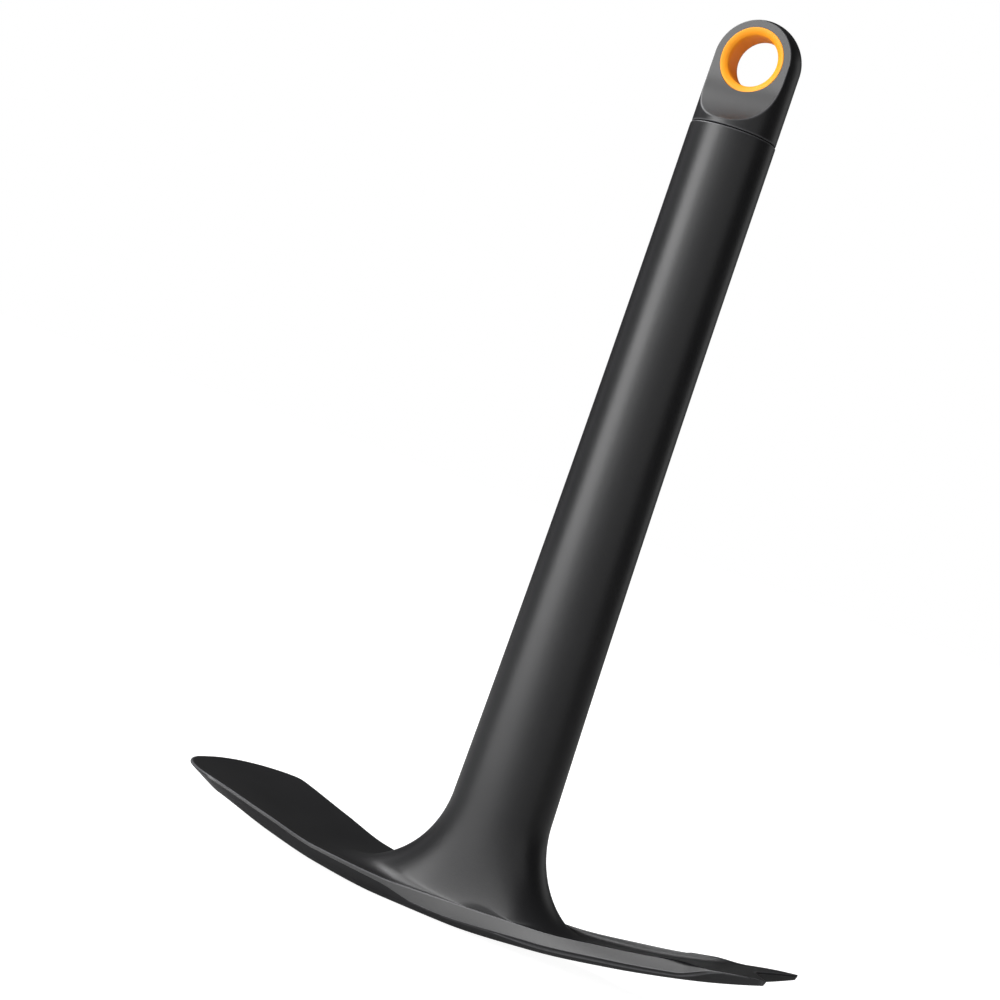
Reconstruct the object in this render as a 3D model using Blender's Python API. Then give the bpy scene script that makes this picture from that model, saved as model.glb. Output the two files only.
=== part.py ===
"""Planters hoe: a moulded grip and head in one, an end cap with a hanging eye, and the eye's coloured ring.

X runs along the head, with the broad blade at -X and the notched fork at +X. Y runs across the head and is
also the axis of the hanging eye. Z runs up the grip. The origin lies at the middle of the head's length,
level with its lowest point. The pieces are built about the grip's axis and then moved to their place. All
sizes are in metres.
"""

import math

import bmesh
import bpy
import numpy as np

MM = 0.001

# Grip, round at the top and drawn out along the head at its foot
SEAM_HEIGHT = 280.5 * MM
GRIP_TOP_RADIUS = 14.95 * MM
GRIP_FOOT_RADIUS = 15.1 * MM
GRIP_FOOT_STRETCH = 2.76 * MM
GRIP_SWELL_POWER = 2.2
GRIP_SIDE_BOW = 0.25
GRIP_EDGE_ROUND = 0.5 * MM
GRIP_BORE_RADIUS = 10.6 * MM
GRIP_BORE_DRAFT = 1.4 * MM
GRIP_BORE_DEPTH = 212 * MM

# Flare from the grip's foot into the head
FLARE_TOP = 42.2 * MM
FLARE_BLADE_REACH = 32.2 * MM
FLARE_FORK_REACH = 24.8 * MM
FLARE_SIDE_REACH = 1.8 * MM
FLARE_RIM_ROOM = 0.6 * MM
FLARE_FULLNESS = 1.2

# Head seen from above
BLADE_REACH = 118 * MM
NOSE_RADIUS = 32.8 * MM
SHOULDER_REACH = 95.5 * MM
SHOULDER_ROUND = 11 * MM
SHOULDER_TAPER = 0.125
WAIST_REACH = 50 * MM
WAIST_HALF_WIDTH = 25.4 * MM
GRIP_HALF_WIDTH = 18.2 * MM
NECK_REACH = 32 * MM
NECK_HALF_WIDTH = 16.5 * MM
FORK_REACH = 111 * MM
TIP_TAPER_START = 97 * MM
TIP_OFFSET = 15.1 * MM
TIP_RADIUS = 1.3 * MM
NOTCH_ROOT = 102.2 * MM
NOTCH_ROOT_RADIUS = 3 * MM
NOTCH_EDGE_ROUND = 0.5 * MM

# Stations along the head. Each row holds, in millimetres: the place along X, the height of the centre line
# of the dished top, the rise of the rim above it, the drop and the lean of the side face under the rim, the
# step under that face, the height of the underside's centre line, and how far the underside's flat lies
# inside the side face. The underside is lowest, at height 0, at the station at -LOWEST_REACH. A bevel with a
# small outward bulge joins the step to the flat.
LOWEST_REACH = 25 * MM
HEAD_STATIONS = (
    (-BLADE_REACH / MM, 16.6, 3.3, 0.8, 0.1, 0.0, 15.4, 9.0),
    (-SHOULDER_REACH / MM, 13.3, 3.5, 0.9, 0.3, 0.0, 11.6, 6.0),
    (-70.0, 9.2, 2.9, 1.0, 0.4, 0.0, 5.5, 5.2),
    (-WAIST_REACH / MM, 6.4, 2.1, 1.1, 0.5, 0.0, 2.0, 4.8),
    (-LOWEST_REACH / MM, 6.0, 1.1, 1.6, 0.7, 0.0, 0.0, 4.2),
    (-12.0, 6.9, 0.8, 4.2, 0.9, 0.0, 0.1, 3.4),
    (0.0, 7.9, 0.6, 5.1, 1.0, 0.2, 0.35, 2.8),
    (NECK_REACH / MM, 9.4, 2.0, 4.2, 1.6, 0.4, 3.8, 2.0),
    (60.0, 13.5, 2.5, 3.6, 2.7, 0.5, 9.3, 1.8),
    (82.0, 19.0, 1.5, 3.0, 4.0, 0.5, 14.85, 1.6),
    (94.0, 22.8, 0.1, 0.8, 0.5, 0.2, 18.4, 1.3),
    (104.0, 25.25, 0.0, 0.5, 0.2, 0.0, 21.8, 0.8),
    (FORK_REACH / MM, 26.5, 0.0, 0.4, 0.1, 0.0, 24.4, 0.4),
)
UNDERSIDE_BOW = 0.5 * MM
BEVEL_BULGE_PLACE = 0.45
BEVEL_BULGE = 0.09

# End cap
PART_GAP = 0.3 * MM
CAP_RADIUS = 14.8 * MM
CAP_EDGE_ROUND = 0.4 * MM
EYE_ABOVE_SEAM = 24.9 * MM
EYE_THICKNESS = 11 * MM
SCALLOP_RADIUS = 24 * MM
SCALLOP_START = 4 * MM
SPIGOT_LENGTH = 20 * MM
SPIGOT_END_ROOM = 2 * MM
SPIGOT_WALL = 2.4 * MM
SNAP_BEAD_HEIGHT = 0.5 * MM
SNAP_BEAD_WIDTH = 2 * MM
SNAP_BEAD_DEPTH = 13 * MM

# Ring in the hanging eye
RING_OUTER_RADIUS = 11.25 * MM
RING_BORE_RADIUS = 8.6 * MM
RING_LIP_DEPTH = 2.5 * MM
RING_PROUD = 0.15 * MM
RING_RIB_HEIGHT = 0.8 * MM
RING_RIB_WIDTH = 2.4 * MM
RING_RIM_WIDTH = 0.5 * MM
RING_EDGE_ROUND = 0.3 * MM

CUT_PAST = 5 * MM

# Fineness of the meshes
OUTLINE_POINTS = 120
TURN_WEIGHT = 7 * MM
GRIP_EVENNESS = 0.65
GRIP_RINGS = 9
FLARE_RINGS = 13
DISH_RINGS = 5
UNDERSIDE_RINGS = (0.86, 0.66, 0.42, 0.2)
TURNED_SIDES = 56
EYE_SIDES = 48
LIP_STEPS = 6


def clear_scene():
    for obj in list(bpy.data.objects):
        bpy.data.objects.remove(obj, do_unlink=True)


def material(name, colour, roughness, metallic=0.0):
    made = bpy.data.materials.new(name)
    made.use_nodes = True
    shader = made.node_tree.nodes["Principled BSDF"]
    shader.inputs["Base Color"].default_value = (*colour, 1.0)
    shader.inputs["Roughness"].default_value = roughness
    shader.inputs["Metallic"].default_value = metallic
    made.diffuse_color = (*colour, 1.0)
    return made


def new_object(name, bm, finish=None, sharp_angle=35):
    """The bmesh as an object, with its faces turned outwards and smooth between its sharp edges."""
    bmesh.ops.recalc_face_normals(bm, faces=bm.faces)
    mesh = bpy.data.meshes.new(name)
    bm.to_mesh(mesh)
    bm.free()
    mesh.shade_smooth()
    mesh.set_sharp_from_angle(angle=math.radians(sharp_angle))
    obj = bpy.data.objects.new(name, mesh)
    bpy.context.scene.collection.objects.link(obj)
    if finish:
        mesh.materials.append(finish)
    return obj


def cut_with(target, cutter):
    cutter.hide_render = True
    cutter.display_type = "WIRE"
    cut = target.modifiers.new(cutter.name, "BOOLEAN")
    cut.operation = "DIFFERENCE"
    cut.solver = "EXACT"
    cut.object = cutter


def loft(rings, bottom_point):
    """A closed skin over rings of as many points each, flat at the first and drawn to a point at the last."""
    bm = bmesh.new()
    rows = [[bm.verts.new(point) for point in ring] for ring in rings]
    for upper, lower in zip(rows, rows[1:]):
        for i in range(len(upper)):
            j = (i + 1) % len(upper)
            bm.faces.new((upper[i], upper[j], lower[j], lower[i]))
    bm.faces.new(rows[0])
    end = bm.verts.new(bottom_point)
    for i in range(len(rows[-1])):
        bm.faces.new((rows[-1][i], rows[-1][(i + 1) % len(rows[-1])], end))
    return bm


def turned(profile, sides=TURNED_SIDES, axis="Z"):
    """A solid turned from (radius, height) pairs and closed through the axis where a radius is 0."""
    bm = bmesh.new()
    rings = []
    for radius, height in profile:
        if radius == 0:
            rings.append([bm.verts.new((0, 0, height))])
            continue
        angles = [2 * math.pi * k / sides for k in range(sides)]
        rings.append([bm.verts.new((radius * math.cos(a), radius * math.sin(a), height)) for a in angles])
    whole = rings + ([rings[0]] if len(rings[0]) > 1 else [])
    for first, second in zip(whole, whole[1:]):
        for k in range(sides):
            a, b = first[k % len(first)], first[(k + 1) % len(first)]
            c, d = second[(k + 1) % len(second)], second[k % len(second)]
            corners = list(dict.fromkeys((a, b, c, d)))
            if len(corners) > 2:
                bm.faces.new(corners)
    if axis == "Y":
        turn = ((1, 0, 0), (0, 0, -1), (0, 1, 0))
        for vertex in bm.verts:
            vertex.co = [sum(row[n] * vertex.co[n] for n in range(3)) for row in turn]
    return bm


def arc(centre, radius, start, end, count):
    """Points on a circle from one angle to another, both in degrees."""
    angles = np.radians(np.linspace(start, end, count))
    return [(centre[0] + radius * math.cos(a), centre[1] + radius * math.sin(a)) for a in angles]


def smooth_curve(xs, ys):
    """A curve through the given points that doesn't overshoot them, as a function of x."""
    xs = np.asarray(xs, float)
    ys = np.asarray(ys, float)
    widths = np.diff(xs)
    slopes = np.diff(ys) / widths
    tangents = np.concatenate(([slopes[0]], np.zeros(len(xs) - 2), [slopes[-1]]))
    for k in range(1, len(xs) - 1):
        if slopes[k - 1] * slopes[k] > 0:
            before = 2 * widths[k] + widths[k - 1]
            after = widths[k] + 2 * widths[k - 1]
            tangents[k] = (before + after) / (before / slopes[k - 1] + after / slopes[k])

    def value(x):
        x = np.clip(x, xs[0], xs[-1])
        k = np.clip(np.searchsorted(xs, x) - 1, 0, len(widths) - 1)
        t = (x - xs[k]) / widths[k]
        rise = ys[k] * (1 + 2 * t) * (1 - t) ** 2 + ys[k + 1] * t * t * (3 - 2 * t)
        return rise + widths[k] * (tangents[k] * t * (1 - t) ** 2 + tangents[k + 1] * t * t * (t - 1))

    return value


def station_curve(column):
    return smooth_curve([row[0] * MM for row in HEAD_STATIONS], [row[column] * MM for row in HEAD_STATIONS])


centre_height = station_curve(1)
rim_rise = station_curve(2)
side_drop = station_curve(3)
side_lean = station_curve(4)
step_depth = station_curve(5)
keel_height = station_curve(6)
flat_inset = station_curve(7)


def rounded_corner(before, corner, after, radius, count=7):
    """Points of the arc that rounds a corner between two straight runs."""
    corner = np.array(corner)
    back = np.array(before) - corner
    ahead = np.array(after) - corner
    back /= np.linalg.norm(back)
    ahead /= np.linalg.norm(ahead)
    half = math.acos(np.clip(back @ ahead, -1, 1)) / 2
    bisector = (back + ahead) / np.linalg.norm(back + ahead)
    centre = corner + bisector * radius / math.sin(half)
    first = corner + back * radius / math.tan(half) - centre
    last = corner + ahead * radius / math.tan(half) - centre
    turn = math.atan2(first[0] * last[1] - first[1] * last[0], first @ last)
    points = []
    for k in range(count):
        a = turn * k / (count - 1)
        x = first[0] * math.cos(a) - first[1] * math.sin(a)
        y = first[0] * math.sin(a) + first[1] * math.cos(a)
        points.append((centre[0] + x, centre[1] + y))
    return points


def side_half_width(x):
    """Half the head's width between its straight side edges, carried on past the nose as if it had none."""
    shoulder = shoulder_point()[1]
    past_nose = shoulder + SHOULDER_TAPER * (BLADE_REACH - SHOULDER_REACH)
    edge = smooth_curve(
        (-BLADE_REACH, -SHOULDER_REACH, -WAIST_REACH, 0, NECK_REACH, FORK_REACH),
        (past_nose, shoulder, WAIST_HALF_WIDTH, GRIP_HALF_WIDTH, NECK_HALF_WIDTH, NECK_HALF_WIDTH),
    )
    return edge(x)


def shoulder_point():
    """Where the nose's arc meets the side edge."""
    inside = BLADE_REACH - NOSE_RADIUS - SHOULDER_REACH
    return (-SHOULDER_REACH, math.sqrt(NOSE_RADIUS**2 - inside**2))


def half_outline():
    """The head's edge on the side of +Y: from the notch's root to a prong's tip, and on to the nose."""
    root = (NOTCH_ROOT + NOTCH_ROOT_RADIUS, 0)
    tip = (FORK_REACH - TIP_RADIUS, TIP_OFFSET)
    apart = (tip[0] - root[0], tip[1] - root[1])
    lean = math.asin((NOTCH_ROOT_RADIUS + TIP_RADIUS) / math.hypot(*apart))
    slope = math.degrees(math.atan2(apart[1], apart[0]) - lean)
    notch = arc(root, NOTCH_ROOT_RADIUS, 180, 90 + slope, 6) + arc(tip, TIP_RADIUS, slope - 90, 0, 5)

    shoulder = shoulder_point()
    nose_centre = -BLADE_REACH + NOSE_RADIUS
    xs = np.linspace(TIP_TAPER_START, -SHOULDER_REACH + SHOULDER_ROUND, 60)
    side = arc(tip, TIP_RADIUS, 15, 80, 5) + [(x, float(side_half_width(x))) for x in xs]
    start = math.atan2(shoulder[1], shoulder[0] - nose_centre) + SHOULDER_ROUND / 2 / NOSE_RADIUS
    nose = arc((nose_centre, 0), NOSE_RADIUS, math.degrees(start), 180, 40)
    side += rounded_corner(side[-1], shoulder, nose[0], SHOULDER_ROUND) + nose
    return notch, side


def whole_outline():
    """The edge as a ring of points, counter-clockwise from the notch and closer together where it turns.

    Also says which of the points lie in the notch.
    """
    notch, side = half_outline()
    half = np.array(notch + side)
    steps = np.linalg.norm(np.diff(half, axis=0), axis=1)
    headings = np.unwrap(np.arctan2(np.diff(half[:, 1]), np.diff(half[:, 0])))
    turns = np.abs(np.diff(headings, prepend=headings[0]))
    weight = np.concatenate(([0], np.cumsum(steps + TURN_WEIGHT * turns)))
    wanted = np.linspace(0, weight[-1], OUTLINE_POINTS // 2 + 1)
    points = np.stack([np.interp(wanted, weight, half[:, n]) for n in (0, 1)], axis=1)
    in_notch = wanted < weight[len(notch) - 1]
    mirrored = points[-2:0:-1] * (1, -1)
    return np.concatenate([points, mirrored]), np.concatenate([in_notch, in_notch[-2:0:-1]])


def inward(points):
    """Unit vectors that point into a closed counter-clockwise ring at each of its points."""
    along = np.roll(points, -1, axis=0) - np.roll(points, 1, axis=0)
    along /= np.linalg.norm(along, axis=1)[:, None]
    return np.stack([-along[:, 1], along[:, 0]], axis=1)


def dish_height(x, y):
    share = np.abs(y) / (side_half_width(x) - side_lean(x))
    return centre_height(x) + rim_rise(x) * share**2


def underside_height(x, y):
    return keel_height(x) + UNDERSIDE_BOW * (y / side_half_width(x)) ** 2


def stretched_x(stretch, radius, angles):
    """Places along X on a circle whose two halves are drawn apart, which leaves its sides almost flat."""
    along = np.cos(angles)
    apart = along * math.hypot(1, GRIP_SIDE_BOW) / np.hypot(along, GRIP_SIDE_BOW)
    return stretch * apart + radius * along


def grip_ring(share, angles):
    """A ring round the grip, some share of the way from its top down to the flare."""
    swell = share**GRIP_SWELL_POWER
    radius = GRIP_TOP_RADIUS + (GRIP_FOOT_RADIUS - GRIP_TOP_RADIUS) * swell
    x = stretched_x(GRIP_FOOT_STRETCH * swell, radius, angles)
    return np.column_stack([x, radius * np.sin(angles)])


def flare_rings(angles):
    """Rings that sweep from the grip's foot out onto the dished top, furthest towards the blade."""
    reach = np.where(np.cos(angles) < 0, FLARE_BLADE_REACH, FLARE_FORK_REACH)
    drop = FLARE_TOP - dish_height(*grip_ring(1, angles).T)
    rings = []
    for k in range(1, FLARE_RINGS + 1):
        a = math.pi / 2 * k / FLARE_RINGS
        spread = 1 - max(math.cos(a), 0) ** FLARE_FULLNESS
        radius = GRIP_FOOT_RADIUS + FLARE_SIDE_REACH * spread
        x = stretched_x(GRIP_FOOT_STRETCH + reach * spread, radius, angles)
        y = np.minimum(radius, side_half_width(x) - side_lean(x) - FLARE_RIM_ROOM) * np.sin(angles)
        rings.append((np.column_stack([x, y]), dish_height(x, y) + drop * (1 - math.sin(a))))
    return rings


def body_rings():
    """Rings from the grip's top down the flare, over the dished top to the rim, and round underneath."""
    edge, in_notch = whole_outline()
    into = inward(edge)
    x = edge[:, 0]
    angles = grip_angles(edge)

    rim = edge + into * np.where(in_notch, NOTCH_EDGE_ROUND, side_lean(x))[:, None]
    rim_height = dish_height(*rim.T)
    side_foot = rim_height - np.where(in_notch, NOTCH_EDGE_ROUND, side_drop(x))
    step = np.where(in_notch, 0, step_depth(x))
    stepped = edge + into * step[:, None]
    inset = np.where(in_notch, NOTCH_EDGE_ROUND, flat_inset(x))
    flat = edge + into * inset[:, None]
    flat_height = underside_height(*flat.T)
    bulge = stepped + (flat - stepped) * BEVEL_BULGE_PLACE
    step_height = side_foot - step
    bulge_height = step_height + (flat_height - step_height) * BEVEL_BULGE_PLACE - BEVEL_BULGE * inset

    grip_top = SEAM_HEIGHT - GRIP_EDGE_ROUND
    rings = [(grip_ring(0, angles) * (1 - GRIP_EDGE_ROUND / GRIP_TOP_RADIUS), np.full(len(x), SEAM_HEIGHT))]
    for share in np.linspace(0, 1, GRIP_RINGS):
        rings.append((grip_ring(share, angles), np.full(len(x), grip_top + (FLARE_TOP - grip_top) * share)))
    rings += flare_rings(angles)
    flare_end = rings[-1][0]
    for k in range(1, DISH_RINGS):
        place = flare_end + (rim - flare_end) * k / DISH_RINGS
        rings.append((place, dish_height(*place.T)))
    rings += [(rim, rim_height), (edge, side_foot), (stepped, step_height), (bulge, bulge_height)]
    rings.append((flat, flat_height))
    for share in UNDERSIDE_RINGS:
        place = lowest_point() + (flat - lowest_point()) * share
        rings.append((place, underside_height(*place.T)))
    return [np.column_stack(ring) for ring in rings]


def lowest_point():
    return np.array([-LOWEST_REACH, 0])


def grip_angles(edge):
    """The place round the grip that each point of the head's edge is joined to, evened out a little."""
    bearing = np.unwrap(np.arctan2(edge[:, 1], edge[:, 0]))
    even = np.arange(len(edge)) * 2 * math.pi / len(edge)
    return bearing + (even - bearing) * GRIP_EVENNESS


def make_body(finish):
    lowest = lowest_point()
    body = new_object("hoe_body", loft(body_rings(), (*lowest, float(underside_height(*lowest)))), finish)
    bead_height = SEAM_HEIGHT - SNAP_BEAD_DEPTH
    half_bead = SNAP_BEAD_WIDTH / 2 + PART_GAP
    groove = GRIP_BORE_RADIUS + SNAP_BEAD_HEIGHT + PART_GAP
    floor = SEAM_HEIGHT - GRIP_BORE_DEPTH
    bore = turned([
        (0, SEAM_HEIGHT + CUT_PAST),
        (GRIP_BORE_RADIUS, SEAM_HEIGHT + CUT_PAST),
        (GRIP_BORE_RADIUS, bead_height + half_bead),
        (groove, bead_height + half_bead - SNAP_BEAD_HEIGHT),
        (groove, bead_height - half_bead + SNAP_BEAD_HEIGHT),
        (GRIP_BORE_RADIUS, bead_height - half_bead),
        (GRIP_BORE_RADIUS, SEAM_HEIGHT - SPIGOT_LENGTH - SPIGOT_END_ROOM),
        (GRIP_BORE_RADIUS - GRIP_BORE_DRAFT, floor + GRIP_BORE_RADIUS / 2),
        (GRIP_BORE_RADIUS / 2, floor),
        (0, floor),
    ], sides=32)
    cut_with(body, new_object("grip_bore_cutter", bore))
    return body


def make_end_cap(finish):
    eye = SEAM_HEIGHT + EYE_ABOVE_SEAM
    foot = SEAM_HEIGHT + PART_GAP
    spigot = GRIP_BORE_RADIUS - PART_GAP
    hollow = spigot - SPIGOT_WALL
    spigot_end = SEAM_HEIGHT - SPIGOT_LENGTH
    bead = spigot + SNAP_BEAD_HEIGHT
    bead_height = SEAM_HEIGHT - SNAP_BEAD_DEPTH
    half_bead = SNAP_BEAD_WIDTH / 2
    dome = arc((0, eye), CAP_RADIUS, 0, 90, 14)
    profile = [(0, eye + CAP_RADIUS), *dome[-2::-1]]
    profile += [
        (CAP_RADIUS, foot + CAP_EDGE_ROUND),
        (CAP_RADIUS - CAP_EDGE_ROUND, foot),
        (spigot, foot),
        (spigot, bead_height + half_bead),
        (bead, bead_height + half_bead - SNAP_BEAD_HEIGHT),
        (bead, bead_height - half_bead + SNAP_BEAD_HEIGHT),
        (spigot, bead_height - half_bead),
        (spigot, spigot_end + CAP_EDGE_ROUND),
        (spigot - CAP_EDGE_ROUND, spigot_end),
        (hollow, spigot_end),
        (hollow, foot - SPIGOT_WALL),
        (0, foot - SPIGOT_WALL),
    ]
    cap = new_object("end_cap", turned(profile), finish)
    for side in (-1, 1):
        cut_with(cap, scallop_cutter(side, eye))
    seat = RING_OUTER_RADIUS + PART_GAP
    half_rib = RING_RIB_WIDTH / 2 + PART_GAP
    groove = seat + RING_RIB_HEIGHT
    past = EYE_THICKNESS / 2 + CUT_PAST
    hole = turned([
        (0, -past), (seat, -past), (seat, -half_rib), (groove, -half_rib), (groove, half_rib),
        (seat, half_rib), (seat, past), (0, past),
    ], sides=EYE_SIDES, axis="Y")
    bmesh.ops.translate(hole, verts=hole.verts, vec=(0, 0, eye))
    cut_with(cap, new_object("eye_cutter", hole))
    return cap


def scallop_cutter(side, eye):
    """Takes one side of the cap down to the eye's flat face, in a hollow curve that ends above the seam."""
    face = EYE_THICKNESS / 2
    bend = eye - SCALLOP_START
    outer = CAP_RADIUS + CUT_PAST
    drop = math.sqrt(SCALLOP_RADIUS**2 - (SCALLOP_RADIUS - (outer - face)) ** 2)
    sweep = math.degrees(math.asin(drop / SCALLOP_RADIUS))
    run_out = arc((face + SCALLOP_RADIUS, bend), SCALLOP_RADIUS, 180, 180 + sweep, 14)
    top = eye + outer
    section = [(face, top), *run_out, (outer, top)]
    bm = bmesh.new()
    ends = [[bm.verts.new((x, side * y, z)) for y, z in section] for x in (-outer, outer)]
    bm.faces.new(ends[0])
    bm.faces.new(ends[1])
    for k in range(len(section)):
        n = (k + 1) % len(section)
        bm.faces.new((ends[0][k], ends[0][n], ends[1][n], ends[1][k]))
    return new_object("scallop_cutter_near" if side < 0 else "scallop_cutter_far", bm)


def make_hang_ring(finish):
    half = EYE_THICKNESS / 2 + RING_PROUD
    rib = RING_OUTER_RADIUS + RING_RIB_HEIGHT
    half_rib = RING_RIB_WIDTH / 2
    rim = RING_OUTER_RADIUS - RING_RIM_WIDTH
    lip = []
    for k in range(LIP_STEPS + 1):
        a = math.pi / 2 * k / LIP_STEPS
        radius = rim - (rim - RING_BORE_RADIUS) * math.sin(a)
        lip.append((radius, half - RING_LIP_DEPTH * (1 - math.cos(a))))
    outer = [
        (RING_OUTER_RADIUS, -half + RING_EDGE_ROUND),
        (RING_OUTER_RADIUS, -half_rib), (rib, -half_rib), (rib, half_rib), (RING_OUTER_RADIUS, half_rib),
        (RING_OUTER_RADIUS, half - RING_EDGE_ROUND),
    ]
    profile = outer + lip + [(radius, -height) for radius, height in reversed(lip)]
    bm = turned(profile, sides=EYE_SIDES, axis="Y")
    bmesh.ops.translate(bm, verts=bm.verts, vec=(0, 0, SEAM_HEIGHT + EYE_ABOVE_SEAM))
    return new_object("hang_ring", bm, finish)


clear_scene()
black_nylon = material("black_nylon", (0.012, 0.012, 0.013), 0.48)
orange_plastic = material("orange_plastic", (0.80, 0.17, 0.02), 0.4)
make_body(black_nylon)
make_end_cap(black_nylon)
make_hang_ring(orange_plastic)

grip_axis = bpy.data.objects.new("grip_axis", None)
grip_axis.location.x = (BLADE_REACH - FORK_REACH) / 2
bpy.context.scene.collection.objects.link(grip_axis)
for piece in list(bpy.data.objects):
    if piece.type == "MESH":
        piece.parent = grip_axis
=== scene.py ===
# %% [markdown]
# A planters hoe, dressed for its portrait
#
# The hoe is three pieces of moulded plastic: one black nylon moulding that is grip, blade and fork
# together, a black cap with a hanging eye, and an orange ring that lines the eye. The solid model of each
# piece is already made, so this lesson loads it as a fixed frame and then lays a fine surface over each
# solid, one piece at a time. After the shapes come the two plastics, and last the camera, the floor and
# the lamps.

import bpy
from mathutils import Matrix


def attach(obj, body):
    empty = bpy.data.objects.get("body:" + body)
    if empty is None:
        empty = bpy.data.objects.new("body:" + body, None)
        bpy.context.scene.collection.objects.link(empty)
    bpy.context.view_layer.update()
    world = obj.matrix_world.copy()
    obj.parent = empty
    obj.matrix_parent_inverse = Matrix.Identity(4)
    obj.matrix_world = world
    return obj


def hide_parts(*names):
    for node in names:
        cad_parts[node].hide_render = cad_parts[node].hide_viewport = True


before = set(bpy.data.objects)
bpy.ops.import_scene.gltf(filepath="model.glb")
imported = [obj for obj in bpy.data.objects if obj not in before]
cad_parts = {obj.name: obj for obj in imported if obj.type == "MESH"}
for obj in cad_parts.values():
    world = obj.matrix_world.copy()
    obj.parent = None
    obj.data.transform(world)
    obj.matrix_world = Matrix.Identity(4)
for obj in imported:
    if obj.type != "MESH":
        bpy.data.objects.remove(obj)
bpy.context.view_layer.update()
print("solids loaded:", ", ".join(sorted(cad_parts)))

# %% [markdown]
# Sizes come before shapes. They are the real sizes of the hoe in metres, named for the feature they
# belong to, so that a change to one of them moves what is worked out from it. The pieces are drawn about
# the grip's axis, and that axis stands a little off the middle of the head, because the blade reaches
# further than the fork.

# %% Name the sizes
import math

import bmesh
import bpy
import numpy as np
from mathutils import Matrix

MM = 0.001

BLADE_REACH = 118 * MM
FORK_REACH = 111 * MM
GRIP_AXIS_X = (BLADE_REACH - FORK_REACH) / 2

SEAM_HEIGHT = 280.5 * MM
GRIP_TOP_RADIUS = 14.95 * MM
GRIP_FOOT_RADIUS = 15.1 * MM
GRIP_FOOT_STRETCH = 2.76 * MM
GRIP_SWELL_POWER = 2.2
GRIP_SIDE_BOW = 0.25
GRIP_EDGE_ROUND = 0.5 * MM
GRIP_BORE_RADIUS = 10.6 * MM
GRIP_BORE_DEPTH = 24 * MM

CAP_RADIUS = 14.8 * MM
CAP_GAP = 0.3 * MM
EYE_HEIGHT = SEAM_HEIGHT + 24.9 * MM
EYE_THICKNESS = 11 * MM
RING_OUTER_RADIUS = 11.25 * MM
RING_BORE_RADIUS = 8.6 * MM
print("the grip's axis stands", round(GRIP_AXIS_X / MM, 2), "mm off the middle of the head")

# %% [markdown]
# The head is the hard piece: a long bow that is a broad dish at one end and a narrower fork at the other.
# No single curve describes it, so it is drawn as a boat builder would draw a hull. Stations stand along
# the head, each giving the height of the dish, the rise of its rim, the depth and lean of the side face
# and the height of the underside, and a smooth curve that never overshoots runs through each column of
# numbers. Four more curves say how steep the dish's walls are, how round its rim is, and how the bevel
# under the side face begins and bulges.

# %% Draw smooth curves through the stations
STATIONS = np.array([
    # along X, dish, rim rise, side drop, side lean, step, keel, flat inset
    (-118.0, 16.6, 3.5, 0.8, 0.1, 0.0, 15.4, 9.0),
    (-95.5, 13.3, 3.6, 0.9, 0.3, 0.0, 11.6, 6.0),
    (-70.0, 9.2, 2.9, 1.0, 0.4, 0.0, 5.5, 5.2),
    (-50.0, 6.4, 2.1, 1.1, 0.5, 0.0, 2.0, 4.8),
    (-25.0, 6.0, 1.1, 1.6, 0.7, 0.0, 0.0, 4.2),
    (-12.0, 6.9, 0.8, 4.2, 0.9, 0.0, 0.1, 3.4),
    (0.0, 7.9, 0.6, 5.1, 1.0, 0.2, 0.35, 2.8),
    (32.0, 9.4, 2.0, 4.2, 1.5, 0.5, 3.8, 2.0),
    (60.0, 13.5, 2.9, 3.9, 2.4, 0.6, 9.3, 1.8),
    (82.0, 19.0, 2.2, 3.7, 2.7, 0.6, 14.85, 1.6),
    (94.0, 22.8, 0.1, 0.2, 0.2, 0.1, 18.4, 1.3),
    (104.0, 25.25, 0.0, 0.08, 0.1, 0.0, 21.8, 0.8),
    (111.0, 26.5, 0.0, 0.06, 0.1, 0.0, 24.4, 0.4),
]) * MM
UNDERSIDE_BOW = 0.5 * MM
LOWEST_REACH = 25 * MM


def smooth_curve(xs, ys):
    """A curve through the points that stays between neighbouring heights, as a function of x."""
    xs, ys = np.asarray(xs, float), np.asarray(ys, float)
    widths = np.diff(xs)
    slopes = np.diff(ys) / widths
    tangents = np.concatenate(([slopes[0]], np.zeros(len(xs) - 2), [slopes[-1]]))
    for k in range(1, len(xs) - 1):
        if slopes[k - 1] * slopes[k] > 0:
            before = 2 * widths[k] + widths[k - 1]
            after = widths[k] + 2 * widths[k - 1]
            tangents[k] = (before + after) / (before / slopes[k - 1] + after / slopes[k])

    def value(x):
        x = np.clip(x, xs[0], xs[-1])
        k = np.clip(np.searchsorted(xs, x) - 1, 0, len(widths) - 1)
        t = (x - xs[k]) / widths[k]
        level = ys[k] * (1 + 2 * t) * (1 - t) ** 2 + ys[k + 1] * t * t * (3 - 2 * t)
        return level + widths[k] * (tangents[k] * t * (1 - t) ** 2 + tangents[k + 1] * t * t * (t - 1))

    return value


def curve_along_head(places, values):
    """A smooth curve through values at places along the head, given in millimetres from the grip's axis."""
    return smooth_curve(np.array(places) * MM, values)


dish, rim_rise, side_drop, side_lean, step_depth, keel, flat_inset = (
    smooth_curve(STATIONS[:, 0], STATIONS[:, n]) for n in range(1, 8))
trough_power = curve_along_head((-118, -98, 14, 44, 111), (1.6, 2, 2, 9, 9))
rim_round = curve_along_head((-118, -90, 80, 93, 111), np.array((1.0, 0.5, 0.45, 0.08, 0.08)) * MM)
land_share = curve_along_head((-118, 14, 34, 88, 97, 111), (0, 0, 0.36, 0.36, 0, 0))
bevel_bulge = curve_along_head((-118, -95, -60, -30, 20, 111), (0, 0.07, 0.15, 0.15, 0.09, 0.09))
print("stations along the head:", len(STATIONS))

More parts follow.
